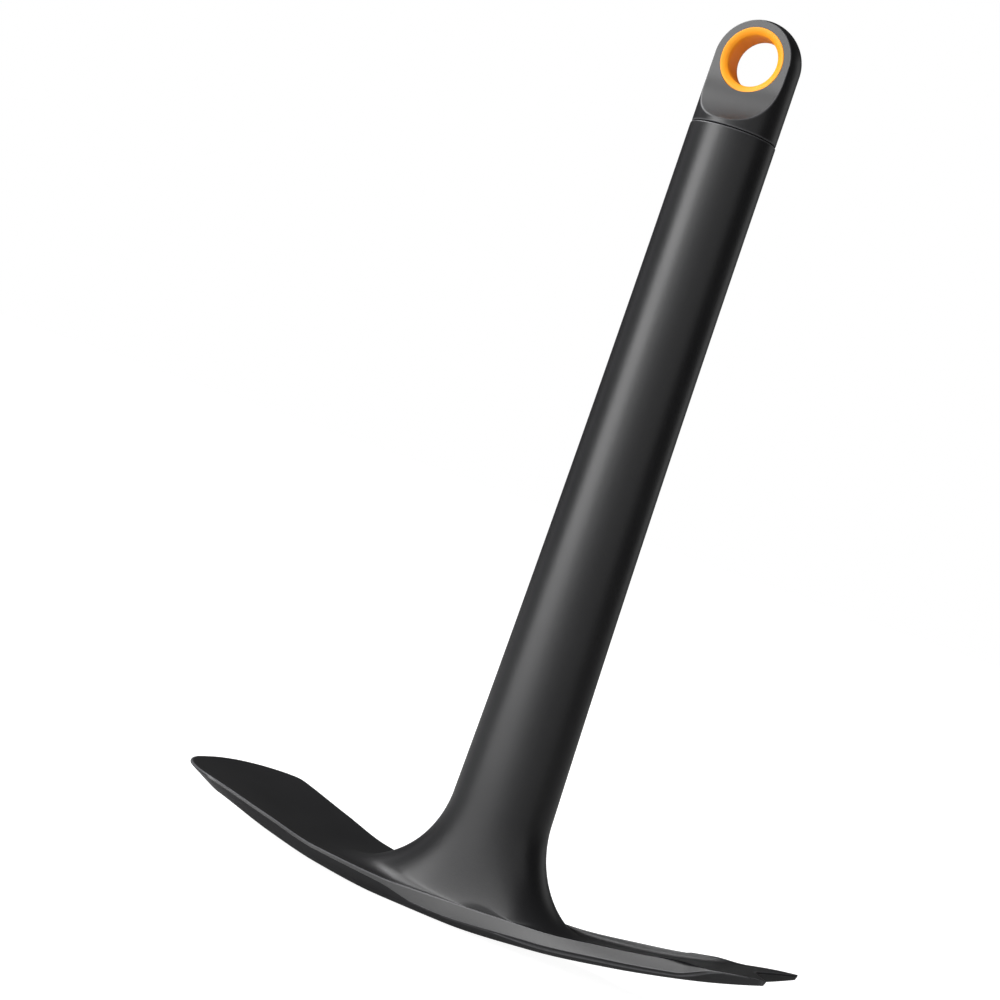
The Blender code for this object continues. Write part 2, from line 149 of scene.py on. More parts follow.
# %% [markdown]
# Seen from above, the head is a rounded nose, two nearly straight sides that draw in towards the grip,
# and a fork end: a shallow notch over the whole width, an arc with two straight flanks, that leaves two
# short points. Half of that outline is drawn as one run of points and mirrored. The points crowd together
# where the outline turns, because that is where a coarse mesh would show its corners.

# %% Draw the head's outline
NOSE_RADIUS = 32.8 * MM
SHOULDER_REACH = 95.5 * MM
SHOULDER_ROUND = 11 * MM
SHOULDER_TAPER = 0.125
WAIST_REACH = 50 * MM
WAIST_HALF_WIDTH = 25.4 * MM
GRIP_HALF_WIDTH = 18.2 * MM
NECK_REACH = 32 * MM
NECK_HALF_WIDTH = 16.5 * MM
TIP_TAPER_START = 97 * MM
TIP_OFFSET = 15.1 * MM
TIP_RADIUS = 1.3 * MM
NOTCH_ROOT = 102.2 * MM
NOTCH_ROOT_RADIUS = 3 * MM
NOTCH_EDGE_ROUND = 0.5 * MM
TIP_OUTER_ARC = (12, 80)
OUTLINE_POINTS = 360
TURN_WEIGHT = 9 * MM
SKIN = 0.06 * MM
LONGEST_CUT = 0.48
TINY = 1e-9

NOSE_CENTRE = -BLADE_REACH + NOSE_RADIUS
SHOULDER_HALF_WIDTH = math.sqrt(NOSE_RADIUS**2 - (NOSE_CENTRE + SHOULDER_REACH) ** 2)
half_width = smooth_curve(
    (-BLADE_REACH, -SHOULDER_REACH, -WAIST_REACH, 0, NECK_REACH, FORK_REACH),
    (SHOULDER_HALF_WIDTH + SHOULDER_TAPER * (BLADE_REACH - SHOULDER_REACH), SHOULDER_HALF_WIDTH,
     WAIST_HALF_WIDTH, GRIP_HALF_WIDTH, NECK_HALF_WIDTH, NECK_HALF_WIDTH))


def arc(centre, radius, start, end, count):
    """Points on a circle between two angles in degrees."""
    angles = np.radians(np.linspace(start, end, count))
    return np.column_stack([centre[0] + radius * np.cos(angles), centre[1] + radius * np.sin(angles)])


def bend(first, corner, last, count):
    """A soft curve from one point to another that leans towards the corner. Works on whole rings as well."""
    shares = np.linspace(0, 1, count)
    return [first * (1 - t) ** 2 + corner * 2 * t * (1 - t) + last * t * t for t in shares]


def corner_curve(before, corner, after, size, count):
    """A soft curve that cuts a corner, from the given distance before it to the same distance after it."""
    back, ahead = before - corner, after - corner
    back_length = np.linalg.norm(back, axis=-1, keepdims=True) + TINY
    ahead_length = np.linalg.norm(ahead, axis=-1, keepdims=True) + TINY
    first = corner + back / back_length * np.minimum(size, LONGEST_CUT * back_length)
    last = corner + ahead / ahead_length * np.minimum(size, LONGEST_CUT * ahead_length)
    return bend(first, corner, last, count)


def half_outline():
    """Half the outline, from the notch's root to the nose, and how many of its points are the notch's."""
    # The counts are only generous, because the points are spread anew along the finished line.
    root = (NOTCH_ROOT + NOTCH_ROOT_RADIUS, 0)
    tip = (FORK_REACH - TIP_RADIUS, TIP_OFFSET)
    apart = (tip[0] - root[0], tip[1] - root[1])
    lean = math.asin((NOTCH_ROOT_RADIUS + TIP_RADIUS) / math.hypot(*apart))
    slope = math.degrees(math.atan2(apart[1], apart[0]) - lean)
    notch = np.concatenate([arc(root, NOTCH_ROOT_RADIUS, 180, 90 + slope, 24),
                            arc(tip, TIP_RADIUS, slope - 90, 0, 14)])
    xs = np.linspace(TIP_TAPER_START, -SHOULDER_REACH + SHOULDER_ROUND / 2, 140)
    side = np.column_stack([xs, half_width(xs)])
    shoulder = np.array((-SHOULDER_REACH, SHOULDER_HALF_WIDTH))
    start = math.atan2(shoulder[1], shoulder[0] - NOSE_CENTRE) + SHOULDER_ROUND / 2 / NOSE_RADIUS
    nose = arc((NOSE_CENTRE, 0), NOSE_RADIUS, math.degrees(start), 180, 70)
    turn = corner_curve(side[-1], shoulder, nose[0], SHOULDER_ROUND / 2, 14)
    return np.concatenate([notch, arc(tip, TIP_RADIUS, *TIP_OUTER_ARC, 12), side, turn, nose]), len(notch)


half, notch_count = half_outline()
steps = np.linalg.norm(np.diff(half, axis=0), axis=1)
headings = np.unwrap(np.arctan2(np.diff(half[:, 1]), np.diff(half[:, 0])))
turns = np.abs(np.diff(headings, prepend=headings[0]))
travel = np.concatenate(([0], np.cumsum(steps + TURN_WEIGHT * turns)))
stops = np.linspace(0, travel[-1], OUTLINE_POINTS // 2 + 1)
upper = np.column_stack([np.interp(stops, travel, half[:, n]) for n in (0, 1)])
in_notch = stops < travel[notch_count - 1]
edge = np.concatenate([upper, upper[-2:0:-1] * (1, -1)])
in_notch = np.concatenate([in_notch, in_notch[-2:0:-1]])
print("outline points:", len(edge), "of which in the notch:", int(in_notch.sum()))

# %% [markdown]
# The whole moulding is one skin over a stack of closed rings, all with as many points as the outline. The
# stack starts inside the bore that takes the cap, comes over the grip's end, runs down the grip, sweeps
# out in the flare, crosses the dish to the rim, turns down the side face and rolls under the head. Where
# two faces meet, the corner is cut by a soft curve, as a real mould rounds it, and that curve is what
# catches the light as a fine line. Where the flare is narrower than the dish, a fillet at its foot leads
# from the one to the other. The skin lies a hair inside the solid's edge, so that nothing of it stands
# proud.

# %% Stack the rings of the grip and the head
FLARE_TOP = 42.2 * MM
FLARE_BLADE_REACH = 32.6 * MM
FLARE_FORK_REACH = 24.8 * MM
FLARE_SIDE_REACH = 1.3 * MM
FLARE_FILLET = 5 * MM
FLARE_SIDE_BOW = 0.9
FLARE_RIM_ROOM = 0.6 * MM
FLARE_FULLNESS = 1.2
GRIP_EVENNESS = 0.65
RIM_CROWDING = 1.5
SIDE_FOOT_ROUND = 0.2 * MM
STEP_ROUND = 0.12 * MM
KEEL_ROUND = 0.6 * MM
LEAST_WALL = 0.22 * MM
LEAST_ROUND_SHARE = 0.3
BEVEL_SHARES = (0.12, 0.28, 0.46, 0.64, 0.82)
KEEL_SHARES = (0.93, 0.8, 0.64, 0.48, 0.32, 0.16)


def dish_height(x, y):
    across = np.minimum(np.abs(y) / (half_width(x) - side_lean(x)), 1)
    return dish(x) + rim_rise(x) * across ** trough_power(x)


def underside_height(x, y):
    return keel(x) + UNDERSIDE_BOW * (y / half_width(x)) ** 2


def with_height(place, height):
    return np.column_stack([place, height])


def on_dish(place):
    return with_height(place, dish_height(*place.T))


def on_underside(place):
    return with_height(place, underside_height(*place.T))


def drawn_apart(stretch, bow):
    """How far a round's two halves stand apart along the head. A small bow leaves its sides almost flat."""
    along = np.cos(angles)
    return stretch * along * math.hypot(1, bow) / np.hypot(along, bow)


def grip_ring(share):
    swell = share**GRIP_SWELL_POWER
    radius = GRIP_TOP_RADIUS + (GRIP_FOOT_RADIUS - GRIP_TOP_RADIUS) * swell
    out = drawn_apart(GRIP_FOOT_STRETCH * swell, GRIP_SIDE_BOW) + radius * np.cos(angles)
    return np.column_stack([out, radius * np.sin(angles)])


heading = np.roll(edge, -1, axis=0) - np.roll(edge, 1, axis=0)
heading /= np.linalg.norm(heading, axis=1)[:, None]
inward = np.column_stack([-heading[:, 1], heading[:, 0]])
edge = edge + inward * SKIN
edge_x, edge_y = edge.T
bearing = np.unwrap(np.arctan2(edge_y, edge_x))
angles = bearing + (np.arange(len(edge)) * 2 * math.pi / len(edge) - bearing) * GRIP_EVENNESS


def inset(size):
    return edge + inward * np.where(in_notch, NOTCH_EDGE_ROUND, size)[:, None]


def level(height):
    return np.full(len(edge), height)


def bore_rings():
    """The blind bore for the cap's spigot, and the rounded end of the grip."""
    circle = np.column_stack([np.cos(angles), np.sin(angles)])
    floor = SEAM_HEIGHT - GRIP_BORE_DEPTH
    rings = [with_height(circle * GRIP_BORE_RADIUS * share, level(floor)) for share in (0.5, 1)]
    rings.append(with_height(circle * GRIP_BORE_RADIUS, level(SEAM_HEIGHT)))
    for a in np.radians(np.linspace(90, 0, 6)):
        radius = GRIP_TOP_RADIUS - GRIP_EDGE_ROUND * (1 - math.cos(a))
        rings.append(with_height(circle * radius, level(SEAM_HEIGHT - GRIP_EDGE_ROUND * (1 - math.sin(a)))))
    return rings


def grip_rings(count):
    top = SEAM_HEIGHT - GRIP_EDGE_ROUND
    return [with_height(grip_ring(share), level(top + (FLARE_TOP - top) * share))
            for share in np.linspace(0, 1, count)[1:]]


def flare_rings(count):
    reach = np.where(np.cos(angles) < 0, FLARE_BLADE_REACH, FLARE_FORK_REACH)
    drop = FLARE_TOP - dish_height(*grip_ring(1).T)
    rings = []
    for a in np.linspace(0, math.pi / 2, count)[1:]:
        spread = 1 - max(math.cos(a), 0) ** FLARE_FULLNESS
        radius = GRIP_FOOT_RADIUS + FLARE_SIDE_REACH * spread
        out = drawn_apart(GRIP_FOOT_STRETCH, GRIP_SIDE_BOW) + drawn_apart(reach * spread, FLARE_SIDE_BOW)
        out += radius * np.cos(angles)
        side = radius * np.abs(np.sin(angles))
        room = half_width(out) - side_lean(out) - FLARE_RIM_ROOM
        above = drop * (1 - math.sin(a))
        fillet = np.clip(room - side, 0, FLARE_FILLET) * np.abs(np.sin(angles))
        sunk = np.maximum(fillet - above, 0)
        side = np.minimum(side + fillet - np.sqrt(fillet**2 - sunk**2), room)
        place = np.column_stack([out, np.sign(np.sin(angles)) * side])
        rings.append(with_height(place, dish_height(*place.T) + above))
    return rings


def head_rings(flare_end, dish_count):
    """From the flare over the dish to the rim, down the side face and round under the head."""
    rim = inset(side_lean(edge_x))
    round_size = rim_round(edge_x)[:, None]
    rim_start = rim + inward * round_size
    shares = 1 - (1 - np.linspace(0, 1, dish_count)[1:]) ** RIM_CROWDING
    rings = [on_dish(flare_end + (rim_start - flare_end) * share) for share in shares]

    rim_top = on_dish(rim)
    drop = np.where(in_notch, NOTCH_EDGE_ROUND, side_drop(edge_x))
    side_foot = with_height(edge, rim_top[:, 2] - drop)
    step = np.where(in_notch, 0, step_depth(edge_x))[:, None]
    stepped = side_foot + np.column_stack([inward, level(-1)]) * step

    flat = on_underside(inset(flat_inset(edge_x)))
    land = with_height(stepped[:, :2], stepped[:, 2] + (flat - stepped)[:, 2] * land_share(edge_x))
    deepest = bevel_bulge(edge_x) * np.where(in_notch, NOTCH_EDGE_ROUND, flat_inset(edge_x))
    bevel = [land]
    for share in BEVEL_SHARES:
        bevel.append(land + (flat - land) * share)
        bevel[-1][:, 2] -= 4 * share * (1 - share) * deepest
    centre = np.array([-LOWEST_REACH, 0])
    middle = [on_underside(centre + (flat[:, :2] - centre) * share) for share in KEEL_SHARES]

    wall = np.linalg.norm(side_foot - rim_top, axis=1)[:, None]
    down = (side_foot - rim_top) / wall
    round_foot = rim_top + down * np.clip(wall - LEAST_WALL, LEAST_ROUND_SHARE * wall, round_size)
    rings += bend(rings[-1], rim_top, round_foot, 7)[1:]
    rings += corner_curve(rim_top, side_foot, stepped, SIDE_FOOT_ROUND, 5)
    rings += corner_curve(side_foot, stepped, bevel[1], STEP_ROUND, 4)
    rings += bevel
    rings += corner_curve(bevel[-1], flat, middle[0], KEEL_ROUND, 4)
    return rings + middle, on_underside(centre[None])[0]


body_rings = bore_rings() + grip_rings(count=40) + flare_rings(count=40)
head, underside_middle = head_rings(body_rings[-1][:, :2], dish_count=24)
body_rings += head
print("rings in the moulding:", len(body_rings))

# %% [markdown]
# Node trees are easier to read as sums than as boxes and wires. Two small classes help with that: a Board
# adds a node to a tree, and a Wire stands for one output socket, so that an expression such as
# 1 - grain * 0.3 adds its own Math nodes. They serve the shape of the cap as well as the look of the
# plastics, because Blender's Math node is the same in both kinds of tree.

# %% Wrap sockets so that they can be added and multiplied


class Wire:
    """One output socket of a node tree, for use in arithmetic."""

    def __init__(self, board, socket):
        self.board, self.socket = board, socket

    def math(self, operation, *others):
        return self.board.add("ShaderNodeMath", {"operation": operation}, self, *others)

    def __add__(self, other):
        return self.math("ADD", other)

    def __sub__(self, other):
        return self.math("SUBTRACT", other)

    def __rsub__(self, other):
        return self.board.add("ShaderNodeMath", {"operation": "SUBTRACT"}, other, self)

    def __mul__(self, other):
        return self.math("MULTIPLY", other)

    def __truediv__(self, other):
        return self.math("DIVIDE", other)

    __radd__ = __add__
    __rmul__ = __mul__


class Board:
    """A node tree with one way of adding a node to it."""

    def __init__(self, tree):
        self.tree = tree

    def feed(self, target, value):
        if isinstance(value, Wire):
            self.tree.links.new(value.socket, target)
        else:
            target.default_value = value

    def add(self, kind, settings=None, *values, output=0, **named):
        """Adds a node, sets it, feeds its sockets in order or by name, and returns one of its outputs."""
        node = self.tree.nodes.new(kind)
        for key, value in (settings or {}).items():
            setattr(node, key, value)
        for socket, value in zip([s for s in node.inputs if s.enabled], values):
            self.feed(socket, value)
        for key, value in named.items():
            self.feed(node.inputs[key.replace("_", " ")], value)
        if isinstance(output, str):
            return Wire(self, node.outputs[output])
        live = [s for s in node.outputs if s.enabled]
        return Wire(self, live[output]) if live else None


# %% [markdown]
# Black glass-filled nylon is nearly black but never flat. Seen close it has a fine matt grain from the
# mould, and its gloss wanders a little over larger patches. So the colour stays near black, a slow noise
# moves the colour and the roughness a little, and two finer ones feed the bump. A paler colour is painted
# along the sharpest convex edges as a painted highlight, and each mesh carries an attribute that says where.

# %% Mix the black nylon
NYLON_DEEP = (0.0080, 0.0080, 0.0090)
NYLON_CLOUDED = (0.0120, 0.0120, 0.0130)
# The last colour is the painted highlight that goes along the sharpest convex edges.
NYLON_PAINTED_HIGHLIGHT = (0.085, 0.085, 0.09)


def new_finish(name):
    made = bpy.data.materials.new(name)
    made.use_nodes = True
    return made, Board(made.node_tree), made.node_tree.nodes["Principled BSDF"].inputs


def noise(board, scale, detail, roughness=0.5):
    where = board.add("ShaderNodeTexCoord", output="Object")
    return board.add("ShaderNodeTexNoise", {"noise_dimensions": "3D"}, Vector=where, Scale=scale,
                     Detail=detail, Roughness=roughness)


def between(board, share, first, second):
    """A colour part of the way from one to another, each of them plain or made by nodes."""
    ends = [colour if isinstance(colour, Wire) else (*colour, 1) for colour in (first, second)]
    return board.add("ShaderNodeMix", {"data_type": "RGBA"}, share, *ends)


def black_nylon():
    made, board, shader = new_finish("black_nylon_finish")
    cloud = noise(board, scale=55.0, detail=3.0)
    grain = noise(board, scale=2600.0, detail=2.0, roughness=0.6)
    speck = noise(board, scale=900.0, detail=1.0)
    painted_edge_highlight = board.add("ShaderNodeAttribute", {"attribute_name": "painted_edge_highlight"}, output="Fac")
    moulded = between(board, cloud, NYLON_DEEP, NYLON_CLOUDED)
    # The paler edge colour mixed in here is a painted highlight along the sharpest edges.
    board.feed(shader["Base Color"], between(board, painted_edge_highlight * (0.5 + speck * 0.7), moulded, NYLON_PAINTED_HIGHLIGHT))
    board.feed(shader["Roughness"], 0.30 + cloud * 0.06 + grain * 0.06)
    board.feed(shader["Normal"], board.add("ShaderNodeBump", None, Strength=0.35, Distance=0.00005,
                                           Height=grain + speck * 0.6))
    return made


black = black_nylon()
print("nodes in the black nylon:", len(black.node_tree.nodes))

# %% [markdown]
# The ring is an unfilled orange plastic, smoother than the nylon. It keeps one strong colour with a
# slight cloud in it, a softer and weaker gloss, so that its bore stays a deep orange, and a fainter grain.

# %% Mix the orange plastic
ORANGE_DEEP = (0.91, 0.33, 0.012)
ORANGE_CLOUDED = (0.96, 0.37, 0.020)


def orange_plastic():
    made, board, shader = new_finish("orange_plastic_finish")
    cloud = noise(board, scale=140.0, detail=2.0)
    grain = noise(board, scale=2400.0, detail=2.0)
    board.feed(shader["Base Color"], between(board, cloud, ORANGE_DEEP, ORANGE_CLOUDED))
    board.feed(shader["Roughness"], 0.42 + cloud * 0.06 + grain * 0.05)
    board.feed(shader["Specular IOR Level"], 0.28)
    board.feed(shader["Normal"], board.add("ShaderNodeBump", None, Strength=0.2, Distance=0.00004,
                                           Height=grain))
    return made


orange = orange_plastic()
print("nodes in the orange plastic:", len(orange.node_tree.nodes))

# %% [markdown]
# A skin over rings needs no modifier: each pair of neighbouring rings becomes a belt of four-sided faces,
# and a fan closes each end. The normals are recalculated once, so that every face points outwards.

# %% Skin the rings
# These two numbers choose which convex edges get the painted highlight colour.
HIGHLIGHT_STARTS_AT = 150
HIGHLIGHT_RANGE = 1200
SHORTEST_SPAN = 0.05 * MM
SKIN_WELD = 0.001 * MM


def paint_edge_highlights(bm):
    """Stores how tight a convex edge each point stands on, from 0 to 1, by its turn in radians a metre."""
    # The stored value is the mask for the paler colour painted along edges, a painted highlight.
    painted_edge_highlight = bm.verts.layers.float.new("painted_edge_highlight")
    for edge in bm.edges:
        if len(edge.link_faces) == 2:
            first, second = (face.calc_center_median() for face in edge.link_faces)
            tightness = edge.calc_face_angle_signed(0) / max((first - second).length, SHORTEST_SPAN)
            for vert in edge.verts:
                vert[painted_edge_highlight] = max(vert[painted_edge_highlight], min((tightness - HIGHLIGHT_STARTS_AT) / HIGHLIGHT_RANGE, 1), 0)


def finished_mesh(name, bm, finish, sharp_angle=40):
    """The bmesh as a smooth-shaded object that stands round the grip's axis."""
    bmesh.ops.translate(bm, verts=bm.verts, vec=(GRIP_AXIS_X, 0, 0))
    bmesh.ops.recalc_face_normals(bm, faces=bm.faces)
    # Stores where the edge highlight is painted.
    paint_edge_highlights(bm)
    mesh = bpy.data.meshes.new(name)
    bm.to_mesh(mesh)
    bm.free()
    mesh.shade_smooth()
    mesh.set_sharp_from_angle(angle=math.radians(sharp_angle))
    mesh.materials.append(finish)
    obj = bpy.data.objects.new(name, mesh)
    bpy.context.scene.collection.objects.link(obj)
    print(name, "has", len(mesh.polygons), "faces")
    return obj


def skin(name, rings, first_point, last_point, finish):
    bm = bmesh.new()
    rows = [[bm.verts.new(point) for point in ring] for ring in rings]
    for upper_row, lower_row in zip(rows, rows[1:]):
        for i in range(len(upper_row)):
            j = (i + 1) % len(upper_row)
            bm.faces.new((upper_row[i], upper_row[j], lower_row[j], lower_row[i]))
    for row, point in ((rows[0], first_point), (rows[-1], last_point)):
        end = bm.verts.new(point)
        for i in range(len(row)):
            bm.faces.new((row[i], row[(i + 1) % len(row)], end))
    bmesh.ops.remove_doubles(bm, verts=bm.verts, dist=SKIN_WELD)
    return finished_mesh(name, bm, finish)


bore_floor = (0, 0, SEAM_HEIGHT - GRIP_BORE_DEPTH)
moulding = skin("grip_and_head", body_rings, bore_floor, underside_middle, black)

# %% [markdown]
# The cap follows a rule. It is turned like a lathe piece, a cylinder with a dome on top, and then a slab
# with hollow run-outs takes its two sides down to the flat cheeks of the eye. Geometry Nodes can say just
# that. Each row of a grid takes its radius and height from one point of a profile line, and the depth of
# every vertex is held down by the slab, with a smooth minimum that leaves a fine fillet along the cheek's
# edge. So that the fillet stays clean, the grid's lines crowd together where the slab meets the round
# side. The same tree turns the ring, with its lines evenly spread and a slab too thick to touch it.

# %% Build the tree that turns a profile
CHEEK_FILLET = 0.7 * MM
SCALLOP_RADIUS = 24 * MM
SCALLOP_START = 4 * MM
CROWDING_POWER = 1.6
HOLE_SIDES = 180
DRILL_LENGTH = 60 * MM
TURNED_WELD = 0.004 * MM
TURNING_INPUTS = {
    "Geometry": "NodeSocketGeometry", "Rows": "NodeSocketInt", "Around": "NodeSocketInt",
    "Half thickness": "NodeSocketFloat", "Run out start": "NodeSocketFloat",
    "Run out radius": "NodeSocketFloat", "Fillet": "NodeSocketFloat", "Crowding": "NodeSocketFloat",
    "Hole height": "NodeSocketFloat", "Hole radius": "NodeSocketFloat", "Finish": "NodeSocketMaterial",
}


def turning_tree():
    tree = bpy.data.node_groups.new("turned_and_slabbed", "GeometryNodeTree")
    for name, kind in TURNING_INPUTS.items():
        tree.interface.new_socket(name, in_out="INPUT", socket_type=kind)
    tree.interface.new_socket("Geometry", in_out="OUTPUT", socket_type="NodeSocketGeometry")
    board = Board(tree)

    def given(name):
        return board.add("NodeGroupInput", output=name)

    position = board.add("GeometryNodeInputPosition")
    grid = board.add("GeometryNodeMeshGrid", None, 1.0, 1.0, given("Rows"), given("Around"))
    row = (board.add("ShaderNodeSeparateXYZ", None, position) + 0.5) * (given("Rows") - 1)
    turn = (board.add("ShaderNodeSeparateXYZ", None, position, output="Y") + 0.5) * 4
    point = board.add("GeometryNodeSampleIndex", {"data_type": "FLOAT_VECTOR"}, given("Geometry"), position,
                      row.math("ROUND"))
    radius = board.add("ShaderNodeSeparateXYZ", None, point)
    height = board.add("ShaderNodeSeparateXYZ", None, point, output="Z")

    drop = (given("Run out start") - height).math("MAXIMUM", 0.0)
    hollow = given("Run out radius")
    hollow_rise = (hollow * hollow - drop * drop).math("MAXIMUM", 0.0).math("SQRT")
    slab = given("Half thickness") + hollow - hollow_rise

    quarter = turn.math("PINGPONG", 1.0)
    meeting = (slab / radius).math("MINIMUM", 1.0).math("ARCSINE")
    below = 1 - (1 - quarter * 2).math("MAXIMUM", 0.0).math("POWER", CROWDING_POWER)
    above = (quarter * 2 - 1).math("MAXIMUM", 0.0).math("POWER", CROWDING_POWER)
    crowded = meeting * below + (math.pi / 2 - meeting) * above
    angle = quarter * (math.pi / 2) * (1 - given("Crowding")) + crowded * given("Crowding")
    heading = turn * (math.pi / 2)
    across = radius * angle.math("COSINE") * heading.math("COSINE").math("SIGN")
    held_down = (radius * angle.math("SINE")).math("SMOOTH_MIN", slab, given("Fillet"))
    depth = held_down * heading.math("SINE").math("SIGN")

    bent = board.add("GeometryNodeSetPosition", None, grid,
                     Position=board.add("ShaderNodeCombineXYZ", None, across, depth, height))
    closed = board.add("GeometryNodeMergeByDistance", None, bent, Distance=TURNED_WELD)
    drill = board.add("GeometryNodeMeshCylinder", None, Vertices=HOLE_SIDES, Radius=given("Hole radius"),
                      Depth=DRILL_LENGTH)
    hole_place = board.add("ShaderNodeCombineXYZ", None, 0.0, 0.0, given("Hole height"))
    drill = board.add("GeometryNodeTransform", None, Geometry=drill, Translation=hole_place,
                      Rotation=(math.pi / 2, 0, 0))
    drilled = board.add("GeometryNodeMeshBoolean", {"operation": "DIFFERENCE", "solver": "EXACT"},
                        Mesh_1=closed, Mesh_2=drill)
    real = board.add("GeometryNodeRealizeInstances", None, drilled)
    painted = board.add("GeometryNodeSetMaterial", None, Geometry=real, Material=given("Finish"))
    board.add("NodeGroupOutput", None, Geometry=painted)
    return tree


turning = turning_tree()
print("nodes in the turning tree:", len(turning.nodes))

# %% [markdown]
# The tree works on a line of profile points, so a small helper draws that line, sets the tree's inputs by
# their identifiers before the object is first evaluated, and keeps the result as a plain mesh.

# %% Run the tree on a profile


def turned_piece(name, profile, finish, lay_down=None, **values):
    """Turns a line of (radius, height) points, and lays the piece down at a height where one is given."""
    line = bpy.data.meshes.new(name + "_profile")
    line.from_pydata([(radius, 0, height) for radius, height in profile], [], [])
    carrier = bpy.data.objects.new(name + "_profile", line)
    bpy.context.scene.collection.objects.link(carrier)
    modifier = carrier.modifiers.new("turning", "NODES")
    modifier.node_group = turning
    values.update(rows=len(profile), finish=finish)
    for item in turning.interface.items_tree:
        key = item.name.replace(" ", "_").lower()
        if item.in_out == "INPUT" and key in values:
            modifier[item.identifier] = values[key]
    graph = bpy.context.evaluated_depsgraph_get()
    result = bpy.data.meshes.new_from_object(carrier.evaluated_get(graph))
    bpy.data.objects.remove(carrier, do_unlink=True)
    bm = bmesh.new()
    bm.from_mesh(result)
    bmesh.ops.remove_doubles(bm, verts=bm.verts, dist=TURNED_WELD)
    if lay_down is not None:
        bmesh.ops.rotate(bm, verts=bm.verts, matrix=Matrix.Rotation(math.pi / 2, 3, "X"))
        bmesh.ops.translate(bm, verts=bm.verts, vec=(0, 0, lay_down))
    return finished_mesh(name, bm, finish, sharp_angle=50)


def densely(points, spacing):
    """The same line with points no further apart than the spacing."""
    dense = [tuple(points[0])]
    for before, after in zip(points, points[1:]):
        count = max(1, math.ceil(math.dist(before, after) / spacing))
        before, after = np.array(before), np.array(after)
        dense += [tuple(before + (after - before) * k / count) for k in range(1, count + 1)]
    return dense


# %% [markdown]
# The cap's profile runs from the end of its hidden spigot out to the foot that meets the grip, up the
# side and over the dome. The foot's edge is rounded like the grip's, so the seam between them reads as
# one thin dark groove.

# %% Turn the cap
CAP_EDGE_ROUND = 0.4 * MM
SPIGOT_LENGTH = 20 * MM
SEEN_SPACING = 0.35 * MM
HIDDEN_SPACING = 4 * MM
HOLE_ROOM = 0.04 * MM
foot = SEAM_HEIGHT + CAP_GAP
spigot = GRIP_BORE_RADIUS - CAP_GAP
cap_radius = CAP_RADIUS - SKIN / 2

spigot_end = SEAM_HEIGHT - SPIGOT_LENGTH
inside = densely([(0, spigot_end), (spigot, spigot_end), (spigot, foot)], HIDDEN_SPACING)
foot_edge = arc((cap_radius - CAP_EDGE_ROUND, foot + CAP_EDGE_ROUND), CAP_EDGE_ROUND, -90, 0, 7)
dome = arc((0, EYE_HEIGHT), cap_radius, 0, 90, 90)
dome[-1, 0] = 0
cap = turned_piece(
    "eye_cap", inside + densely([*foot_edge, *dome], SEEN_SPACING), black, around=305, crowding=1.0,
    half_thickness=EYE_THICKNESS / 2, run_out_start=EYE_HEIGHT - SCALLOP_START,
    run_out_radius=SCALLOP_RADIUS, fillet=CHEEK_FILLET, hole_height=EYE_HEIGHT,
    hole_radius=RING_OUTER_RADIUS + HOLE_ROOM)

# %% [markdown]
# The ring is a short tube with a wide sloping lip on each side. The lip is what shows most from the
# front: it is lighter than the bore behind it because it turns towards the light, so it ends in a crisp
# edge before the bore.

# %% Turn the ring
RING_STANDS_PROUD = 0.15 * MM
RING_HALF = EYE_THICKNESS / 2 + RING_STANDS_PROUD
RING_RIM = 0.45 * MM
LIP_EDGE_RADIUS = 8.85 * MM
LIP_EDGE_DEPTH = 1.15 * MM
LIP_CROWN = 0.2 * MM
LIP_EDGE_ROUND = 0.12 * MM
RING_RIM_ROUND = 0.3 * MM
THROAT_DEPTH = 2.5 * MM

lip_top = np.array((RING_OUTER_RADIUS - RING_RIM, RING_HALF))
lip_edge = np.array((LIP_EDGE_RADIUS, RING_HALF - LIP_EDGE_DEPTH))
lip_out = np.array((lip_edge - lip_top)[::-1]) * (1, -1) / np.linalg.norm(lip_edge - lip_top)
lip = [lip_top + (lip_edge - lip_top) * t + lip_out * LIP_CROWN * math.sin(math.pi * t)
       for t in np.linspace(0, 1, 13)]
throat = np.array((RING_BORE_RADIUS, RING_HALF - THROAT_DEPTH))
edge_curve = corner_curve(lip[-2], lip[-1], throat, LIP_EDGE_ROUND, 4)
middle_line, outer_corner = np.array((RING_OUTER_RADIUS, 0)), np.array((RING_OUTER_RADIUS, RING_HALF))
outer_curve = corner_curve(middle_line, outer_corner, lip[0], RING_RIM_ROUND, 5)
half_profile = [(RING_OUTER_RADIUS, 0), *outer_curve, *lip[:-1], *edge_curve, throat, (RING_BORE_RADIUS, 0)]
ring_profile = densely(half_profile, SEEN_SPACING)
ring_profile += [(radius, -height) for radius, height in ring_profile[-2::-1]]

# The slab is far thicker than the ring, and the drill stays a metre above it.
ring = turned_piece(
    "eye_ring", ring_profile, orange, lay_down=EYE_HEIGHT, around=193, crowding=0.0, half_thickness=0.1,
    run_out_start=-1.0, run_out_radius=0.0, fillet=0.0, hole_height=1.0, hole_radius=0.001)

# %% [markdown]
# Each fine surface now takes the place of its solid, rides on the one body of the hoe and carries its
# plastic.

# %% Dress the frame
for piece, node, slot in ((moulding, "hoe_body", "black_nylon"), (cap, "end_cap", "black_nylon"),
                          (ring, "hang_ring", "orange_plastic")):
    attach(piece, "root")
    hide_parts(node)
print("pieces dressed:", moulding.name, cap.name, ring.name)

# %% [markdown]
# The photograph looks at the hoe through a long lens, from the front and a little from the fork's side,
# level with the middle of the grip, and the picture is turned so that the grip leans to the right. A
# camera that has that lens, place and roll gives the same perspective.

